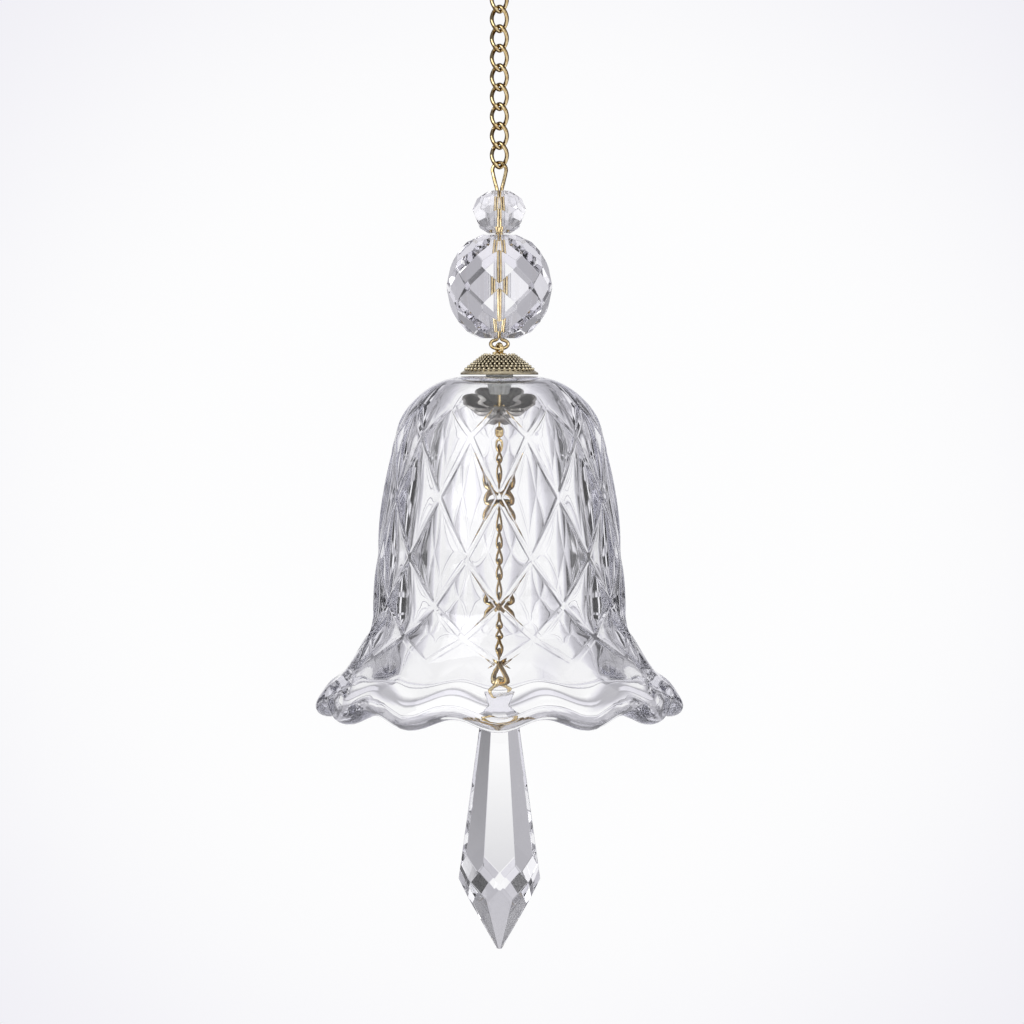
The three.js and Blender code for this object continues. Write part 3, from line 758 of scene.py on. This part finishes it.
def filigreeCap():
    base = nodeBottom("filigree_cap")
    bm = spinProfile(cap["outer"] + cap["inner"], base, cap["rays"] * cap["stepsPerRay"])
    proud, tones = bm.verts.layers.float.new("proud"), cap["proud"]
    pits = []
    for face in bm.faces:
        middle = face.calc_center_median()
        radius = math.hypot(middle.x, middle.y)
        phase = (math.atan2(middle.x, -middle.y) / (2 * math.pi) * cap["rays"]) % 1.0
        inRow = any(first < radius < last for first, last in cap["pitRows"])
        if face.normal.z > cap["facesUp"] and inRow and abs(phase - 0.5) < cap["pitShare"]:
            pits.append(face)
    for vert in bm.verts:
        radius = math.hypot(vert.co.x, vert.co.y)
        wave = math.cos(math.atan2(vert.co.x, -vert.co.y) * cap["rays"])
        # painted shade: the underside is darker than the top
        vert[proud] = tones["top"] if vert.normal.z > 0 else tones["under"]
        if vert.normal.z > 0 and cap["slope"][0] < radius < cap["slope"][1]:
            vert[proud] = tones["slope"] + tones["wave"] * wave
            vert.co += vert.normal * cap["ridge"] * wave
        elif vert.normal.z > 0 and radius < cap["dish"]:
            vert[proud] = tones["dish"]
    sunk = bmesh.ops.extrude_face_region(bm, geom=pits)["geom"]
    for vert in sunk:
        if isinstance(vert, bmesh.types.BMVert):
            vert.co += Vector((0, 0, -cap["pit"]))
            vert[proud] = tones["pit"]
    bmesh.ops.delete(bm, geom=pits, context="FACES")
    dots = []
    for row, (radius, size, count) in enumerate(cap["granules"] + cap["crest"]):
        dots += [(2 * math.pi * (i + row % 2 / 2) / count, radius, size) for i in range(count)]
    for angle, radius, size in dots:
        height = base + between(cap["outer"], radius) + cap["ballLift"]
        place = Vector((radius * math.sin(angle), -radius * math.cos(angle), height))
        ball = bmesh.ops.create_icosphere(bm, subdivisions=1, radius=size, matrix=Matrix.Translation(place))
        # painted highlight and shade: each ball is lighter on top and darker beneath
        for vert in ball["verts"]:
            vert[proud] = tones["ball"] + tones["ballTop"] * (vert.co - place).z / size
    return bm


addPiece("filigreeCap", filigreeCap(), "filigree_cap", antiqueGold, ["filigree_cap"], sharp=50.0)
print("cap made")

# eye pin: an eye at each end of a shaft, and a wrap of thin wire that stands in the cap's dish
stem = dict(wire=0.75, eyeRadius=0.95, eyeTurn=-60.0, lowRadius=1.1, lowTurn=-22.5, eyeSteps=40, dish=2.95,
            wrapRadius=1.12, wrapWire=0.45, wrapTurns=1.6, wrapPitch=0.42, wrapStart=0.5, wrapSteps=40)


def bellStem():
    top = nodeTop("bell_stem") - stem["wire"] / 2
    low = nodeBottom("bell_stem") + stem["wire"] / 2
    eyeCentre, lowCentre = top - stem["eyeRadius"], low + stem["lowRadius"]
    eye = ringPoints(stem["eyeRadius"], eyeCentre, math.radians(stem["eyeTurn"]), steps=stem["eyeSteps"])
    lowEye = ringPoints(stem["lowRadius"], lowCentre, math.radians(stem["lowTurn"]), steps=stem["eyeSteps"])
    bm = bentWire(eye, stem["wire"], smooth=False)
    joinInto(bm, bentWire(lowEye, stem["wire"], smooth=False))
    shaft = [Vector((0, 0, eyeCentre - stem["eyeRadius"])), Vector((0, 0, lowCentre + stem["lowRadius"]))]
    joinInto(bm, bentWire(shaft, stem["wire"], closed=False, smooth=False))
    start = nodeBottom("filigree_cap") + stem["dish"] + stem["wrapStart"]
    wrap = []
    for i in range(stem["wrapSteps"] + 1):
        turns = stem["wrapTurns"] * i / stem["wrapSteps"]
        side = Vector((math.cos(2 * math.pi * turns), math.sin(2 * math.pi * turns), 0))
        wrap.append(side * stem["wrapRadius"] + Vector((0, 0, start + stem["wrapPitch"] * turns)))
    joinInto(bm, bentWire(wrap, stem["wrapWire"], closed=False, smooth=False))
    return bm


addPiece("bellStem", bellStem(), "bell_stem", gold, ["bell_stem"])

stop = dict(width=2.8, height=1.6, bore=1.05, around=32, along=16, boreSides=24)


def stopBead():
    bm = bmesh.new()
    bmesh.ops.create_uvsphere(bm, u_segments=stop["around"], v_segments=stop["along"], radius=stop["width"] / 2)
    bmesh.ops.scale(bm, verts=bm.verts, vec=(1, 1, stop["height"] / stop["width"]))
    bm = drill(bm, stop["bore"] / 2, 2 * stop["height"], Matrix.Identity(4), stop["boreSides"])
    bmesh.ops.translate(bm, verts=bm.verts, vec=(0, 0, nodeMiddle("stop_bead")))
    return bm


addPiece("stopBead", stopBead(), "bell_stem", gold, ["stop_bead"])

sleeve = dict(
    ribs=12, rib=0.07, steps=96, top=1.1,
    ribFrom=1.0, ribTop=0.2,  # the ribs lie outside this radius and below this height
    profile=[(0.675, -5.7), (1.6, -5.7), (1.85, -5.5), (2.6, -1.3), (2.6, 0.3), (3.8, 0.3), (4.0, 0.45),
             (4.0, 0.95), (3.85, 1.1), (0.675, 1.1)],
)


def crownBushing():
    level = nodeTop("crown_bushing") - sleeve["top"]
    bm = spinProfile(sleeve["profile"], level, sleeve["steps"])
    for vert in bm.verts:
        radius = math.hypot(vert.co.x, vert.co.y)
        if radius > sleeve["ribFrom"] and vert.co.z < level + sleeve["ribTop"]:
            wave = math.cos(sleeve["ribs"] * math.atan2(vert.co.x, vert.co.y))
            inward = 1 - sleeve["rib"] * (0.5 - 0.5 * wave)
            vert.co.x *= inward
            vert.co.y *= inward
    return bm


addPiece("crownBushing", crownBushing(), "glass_bell", clearPlastic, ["crown_bushing"])

# six spoon-shaped petals on a small hub
flower = dict(
    petals=6, hole=0.675, reach=7.1, rise=2.3, curl=1.4, shell=0.4, bulge=0.85, rows=26, columns=14,
    start=0.12, lift=0.75, tilt=19.0,
    # half the width of a petal at each share of its length
    widths=[(0.0, 0.8), (0.12, 0.95), (0.3, 1.5), (0.5, 2.5), (0.65, 3.0), (0.78, 2.95), (0.88, 2.4),
            (0.95, 1.6), (1.0, 0.5)],
    hub=[(0.675, 0.0), (1.5, 0.05), (2.0, 0.4), (1.9, 0.95), (1.5, 1.2), (0.675, 1.0)], hubSteps=48,
    # painted highlights on the rims at the sides and the tip, and a rubbed line down the middle
    sideRim=(0.72, 0.95), tipRim=(0.86, 0.96), lineWidth=0.08,
    proud=dict(petal=0.2, rim=0.8, line=0.25, hub=0.7),
)


def petalCap():
    low = nodeBottom("petal_cap") + flower["lift"]
    bm = bmesh.new()
    proud, tones = bm.verts.layers.float.new("proud"), flower["proud"]
    bmesh.ops.create_grid(bm, x_segments=flower["columns"], y_segments=flower["rows"], size=0.5)
    first = math.pi / flower["petals"]
    for vert in bm.verts:
        across, share = 2 * vert.co.x, flower["start"] + (1 - flower["start"]) * (vert.co.y + 0.5)
        half = between(flower["widths"], share)
        radius = flower["hole"] + (flower["reach"] - flower["hole"]) * share
        height = low + flower["rise"] * share ** flower["curl"]
        spoon = flower["bulge"] * (across ** 2 - 0.5) * math.sin(math.pi * share)
        angle = first + across * half / radius
        out = radius - spoon
        vert.co = (out * math.sin(angle), -out * math.cos(angle), height + spoon)
        # painted highlight along the petal's rims
        rim = max(smoothstep(*flower["sideRim"], abs(across)), smoothstep(*flower["tipRim"], share))
        line = math.exp(-((across / flower["lineWidth"]) ** 2))
        vert[proud] = tones["petal"] + tones["rim"] * rim + tones["line"] * line
    bmesh.ops.recalc_face_normals(bm, faces=bm.faces)
    if sum(f.normal.z for f in bm.faces) > 0:
        bmesh.ops.reverse_faces(bm, faces=bm.faces)
    bmesh.ops.solidify(bm, geom=bm.faces[:], thickness=flower["shell"])
    petal = bm.verts[:] + bm.edges[:] + bm.faces[:]
    for i in range(1, flower["petals"]):
        copy = bmesh.ops.duplicate(bm, geom=petal)["geom"]
        bmesh.ops.rotate(bm, verts=[v for v in copy if isinstance(v, bmesh.types.BMVert)],
                         matrix=Matrix.Rotation(2 * math.pi * i / flower["petals"], 3, "Z"))
    hub = spinProfile(flower["hub"], low, flower["hubSteps"])
    layer = hub.verts.layers.float.new("proud")
    for vert in hub.verts:
        vert[layer] = tones["hub"]
    joinInto(bm, hub)
    askew = Matrix.Rotation(math.radians(flower["tilt"]), 3, "X")
    bmesh.ops.rotate(bm, verts=bm.verts, cent=(0, 0, low), matrix=askew)
    return bm


addPiece("petalCap", petalCap(), "petal_cap", antiqueSilver, ["petal_cap"], sharp=40.0)
print("stem, bushing and petal cap made")

# pressed bell: radii and depths are measured from the axis and from the top of the crown
bell = dict(
    crown=7.0, throat=20.7, waist=24.1, lip=33.0, swell=0.8, flare=0.65, flareSoft=0.1, flarePower=4,
    domeDepth=14.5, domePower=1.8, waistDepth=45.0, lipDepth=58.9,
    wall=5.2, skirtWall=5.0, crownThick=2.6, innerCrown=7.5, innerFlat=5.5, topFlats=(5.0, 6.8),
    crownDepths=(0.04, 0.15, 0.4, 0.8, 1.3),
    hole=2.9, holeSoft=((0.3, 0.0), (0.08, 0.08), (0.0, 0.3)),  # soft edge: out from the hole, and below the face
    skirtRings=3, wallRings=22, domeRings=12, weld=0.001,
    # rolled edge: radius and depth from the lip's upper corner round to the inside
    roll=[(33.5, 59.3), (34.0, 60.0), (34.4, 60.8), (34.6, 61.6), (34.5, 62.3), (34.15, 62.95), (33.5, 63.45),
          (32.6, 63.75), (31.6, 63.8), (30.7, 63.55), (30.0, 63.05), (29.55, 62.35), (29.25, 61.5)],
    scallops=12, drop=1.1, reach=0.5, late=3.0,
    rows=[1.8, 5.46, 11.12, 22.42, 33.72, 42.48, 48.44, 52.6, 57.3],  # depths of the lattice's crossing rows
    firstRow=-1, lastCell=5, band=0.36, step=0.08, stepWidth=0.25, bowl=0.55, bowlReach=5.0,
    arch=0.25, archHeight=4.5, archSoft=0.75,
    fadeOut=(0.4, 1.6),  # rows past the last cells over which the bands run out into the skirt
    # places of the grid lines across half a diamond, closest at its bands
    spacing=[0.0, 0.03, 0.045, 0.056, 0.067, 0.079, 0.1, 0.135, 0.19, 0.26, 0.34, 0.42],
)


def domeCurve(share):
    return max(0.0, 1 - (1 - share) ** bell["domePower"]) ** (1 / bell["domePower"])


def bellRadius(depth):
    if depth < bell["domeDepth"]:
        return bell["crown"] + (bell["throat"] - bell["crown"]) * domeCurve(depth / bell["domeDepth"])
    if depth < bell["waistDepth"]:
        share = (depth - bell["domeDepth"]) / (bell["waistDepth"] - bell["domeDepth"])
        straight = bell["throat"] + (bell["waist"] - bell["throat"]) * share
        return straight + bell["swell"] * math.sin(math.pi * share)
    share = (depth - bell["waistDepth"]) / (bell["lipDepth"] - bell["waistDepth"])
    soft = bell["flareSoft"]
    lean = (math.hypot(share, soft) - soft) / (math.hypot(1, soft) - soft)
    out = bell["flare"] * lean + (1 - bell["flare"]) * share ** bell["flarePower"]
    return bell["waist"] + (bell["lip"] - bell["waist"]) * out


def bellPoint(radius, depth, around):
    share = min(max((depth - bell["waistDepth"]) / (bell["lipDepth"] - bell["waistDepth"]), 0.0), 1.0)
    wave = math.cos(bell["scallops"] * around) * share ** bell["late"]
    out = radius + bell["reach"] * wave
    return Vector((out * math.sin(around), -out * math.cos(around), -depth - bell["drop"] * wave))


# how far the outer face lies below the lattice's bands, at a column and row of crossings
def scoop(column, row, radius, rowHeight):
    left, right = math.floor((column + row) / 2), math.floor((column - row) / 2)
    cellRow, cellColumn = left - right, left + right + 1
    if cellRow < 0 or cellRow > bell["lastCell"] + 1:
        return 0.0
    columnWidth = 2 * math.pi * radius / (2 * bell["scallops"])
    reach = 1 / math.hypot(1 / columnWidth, 1 / rowHeight)
    total = 1.0
    edge = 1.0
    for line in (column + row, column - row):
        away = abs(line - 2 * round(line / 2))  # 0 on a band, 1 half way to the next
        side = max(0.0, away * reach - bell["band"])
        edge *= smoothstep(0.0, bell["stepWidth"], side)
        total *= 1 - (1 - min(side / (reach - bell["band"]), 1.0)) ** 2
    if cellRow == 0:
        under = (row + bell["arch"] * (1 - (column - cellColumn) ** 2)) * bell["archHeight"]
        edge *= smoothstep(0.0, bell["archSoft"], under)
        total *= smoothstep(0.0, bell["archHeight"], under)
    if cellRow > bell["lastCell"]:
        edge *= 1 - smoothstep(*bell["fadeOut"], row - bell["lastCell"])
        total = 0.0
    return bell["step"] * edge + bell["bowl"] * min(1.0, reach / bell["bowlReach"]) * total


def glassBell():
    top = nodeTop("glass_bell")
    rows, first = bell["rows"], bell["firstRow"]
    half = bell["spacing"]
    marks = half + [0.5] + [1 - m for m in reversed(half)]
    count = len(marks) - 1
    bm = bmesh.new()
    bmesh.ops.create_grid(bm, x_segments=count, y_segments=count, size=0.5)
    for vert in bm.verts:
        p = marks[round((vert.co.x + 0.5) * count)] - 0.5
        q = marks[round((vert.co.y + 0.5) * count)] - 0.5
        vert.co = (p + q, p - q, 0)
    tile = bm.verts[:] + bm.edges[:] + bm.faces[:]
    last = first + len(rows) - 1
    for row in range(first, last + 1):
        for column in range(0, 2 * bell["scallops"], 2):
            copy = bmesh.ops.duplicate(bm, geom=tile)
            moved = [v for v in copy["geom"] if isinstance(v, bmesh.types.BMVert)]
            bmesh.ops.translate(bm, verts=moved, vec=(column + (row + 1) % 2, row, 0))
    bmesh.ops.delete(bm, geom=[v for v in tile if isinstance(v, bmesh.types.BMVert)], context="VERTS")
    for row, side in ((first, -1), (last, 1)):
        geom = bm.verts[:] + bm.edges[:] + bm.faces[:]
        bmesh.ops.bisect_plane(bm, geom=geom, dist=cutWeld, plane_co=(0, row, 0), plane_no=(0, side, 0),
                               clear_outer=True)
    bmesh.ops.remove_doubles(bm, verts=bm.verts, dist=weld)

    # the flat sheet of diamonds is wrapped round the bell and pressed
    for vert in bm.verts:
        column, row = vert.co.x, vert.co.y
        at = min(int(math.floor(row + 1e-6)) - first, len(rows) - 2)
        depth = rows[at] + (rows[at + 1] - rows[at]) * (row - first - at)
        radius = bellRadius(depth)
        sunk = scoop(column, row, radius, rows[at + 1] - rows[at])
        vert.co = bellPoint(radius - sunk, depth, 2 * math.pi * column / (2 * bell["scallops"]))
    bmesh.ops.remove_doubles(bm, verts=bm.verts, dist=bell["weld"])

    # skirt, lip, inner wall and crown, drawn on ring by ring
    outline = []
    for i in range(1, bell["skirtRings"] + 1):
        depth = rows[-1] + (bell["lipDepth"] - rows[-1]) * i / bell["skirtRings"]
        outline.append((bellRadius(depth), depth))
    outline += bell["roll"]
    innerDome = bell["domeDepth"] + bell["wall"]
    for i in range(bell["wallRings"]):
        depth = bell["lipDepth"] + (innerDome - bell["lipDepth"]) * i / (bell["wallRings"] - 1)
        share = smoothstep(bell["waistDepth"], bell["lipDepth"], depth)
        outline.append((bellRadius(depth) - bell["wall"] - (bell["skirtWall"] - bell["wall"]) * share, depth))
    throat, thick, hole = outline[-1][0], bell["crownThick"], bell["hole"]
    for i in range(1, bell["domeRings"] + 1):
        share = 1 - math.sin(math.pi / 2 * i / bell["domeRings"])
        radius = bell["innerCrown"] + (throat - bell["innerCrown"]) * domeCurve(share)
        outline.append((radius, thick + (innerDome - thick) * share))
    outline.append((bell["innerFlat"], thick))
    outline += [(hole + out, thick - deep) for out, deep in bell["holeSoft"]]
    outline += [(hole + out, deep) for out, deep in reversed(bell["holeSoft"])]
    outline += [(radius, 0.0) for radius in bell["topFlats"]]
    outline += [(bellRadius(depth), depth) for depth in (*bell["crownDepths"], rows[0])]
    rim = [e for e in bm.edges if e.is_boundary and e.verts[0].co.z < -bell["waistDepth"]]
    for radius, depth in outline:
        grown = bmesh.ops.extrude_edge_only(bm, edges=rim)["geom"]
        rim = [e for e in grown if isinstance(e, bmesh.types.BMEdge) and e.is_boundary]
        for vert in {v for e in rim for v in e.verts}:
            vert.co = bellPoint(radius, depth, math.atan2(vert.co.x, -vert.co.y))
    bmesh.ops.remove_doubles(bm, verts=bm.verts, dist=bell["weld"])
    bmesh.ops.recalc_face_normals(bm, faces=bm.faces)
    bmesh.ops.translate(bm, verts=bm.verts, vec=(0, 0, top))
    print("bell faces:", len(bm.faces), "open edges:", sum(not e.is_manifold for e in bm.edges))
    return bm


addPiece("glassBell", glassBell(), "glass_bell", bellGlass, ["glass_bell"], sharp=60.0)
print("bell made")

drop = dict(topWidth=6.5, bevel=0.6, width=15.6, girdle=33.3, length=46.8, tip=0.9, sides=8, kiteCut=1.2,
            kiteLean=0.22, holeDrop=2.1, hole=1.3, holeSides=96, soft=0.08, sharp=4.0)
bail = dict(wire=0.7, topWidth=2.9, turn=67.5, clear=0.3)


def dropBail():
    top = nodeTop("drop_bail") - bail["wire"] / 2
    low = nodeBottom("drop_bail") + bail["wire"] / 2
    slope = (drop["width"] - drop["topWidth"]) / 2 / drop["girdle"]
    corner = (drop["topWidth"] / 2 + slope * drop["holeDrop"]) / math.cos(math.pi / drop["sides"])
    leg = corner + bail["clear"] + bail["wire"] / 2
    arch = (bail["topWidth"] - bail["wire"]) / 2
    bend = bail["wire"]
    shoulder = low + drop["holeDrop"] + 2 * bail["clear"] + bail["wire"]
    part = math.sqrt(0.5)
    half = [(arch * part, top - arch * (1 - part)), (arch, top - arch), (leg - bend, shoulder + bend),
            (leg, shoulder), (leg, low + bend), (leg - bend * (1 - part), low + bend * (1 - part)),
            (leg - bend, low)]
    path = [(0, top)] + half + [(-x, z) for x, z in reversed(half)]
    return bentWire(turned(path, math.radians(bail["turn"])), bail["wire"], steps=10)


addPiece("dropBail", dropBail(), "drop_bail", gold, ["drop_bail"])


def glassDrop():
    half = math.pi / drop["sides"]
    widest, tip = drop["width"] / 2, drop["tip"] / 2

    def ring(turn, lean, distance):
        found = []
        for i in range(drop["sides"]):
            around = 2 * half * i + turn
            normal = Vector((math.cos(around), math.sin(around), lean)).normalized()
            found.append((normal, distance / math.hypot(1, lean)))
        return found

    up = (widest - drop["topWidth"] / 2) / drop["girdle"]
    down = (widest - tip) / (drop["length"] - drop["girdle"])
    corner = widest / math.cos(half) - drop["kiteCut"]
    planes = (ring(0, up, drop["topWidth"] / 2) + ring(0, -down, widest + down * drop["girdle"])
              + ring(half, -drop["kiteLean"], corner + drop["kiteLean"] * drop["girdle"])
              + ring(0, 1, drop["topWidth"] / 2 - drop["bevel"]))
    bm = bmesh.new()
    bmesh.ops.create_cube(bm, size=1.0)
    bmesh.ops.scale(bm, verts=bm.verts, vec=(2 * drop["width"], 2 * drop["width"], drop["length"]))
    bmesh.ops.translate(bm, verts=bm.verts, vec=(0, 0, -drop["length"] / 2))
    cutFacets(bm, planes)
    softEdges(bm, drop["soft"])
    across = Matrix.Rotation(math.radians(bail["turn"]), 4, "Z") @ Matrix.Rotation(math.pi / 2, 4, "Y")
    across = Matrix.Translation((0, 0, -drop["holeDrop"])) @ across
    bm = drill(bm, drop["hole"] / 2, 2 * drop["width"], across, drop["holeSides"])
    bmesh.ops.translate(bm, verts=bm.verts, vec=(0, 0, nodeTop("glass_drop")))
    return bm


addPiece("glassDrop", glassDrop(), "glass_drop", dropCrystal, ["glass_drop"], sharp=drop["sharp"])
print("bail and drop made")
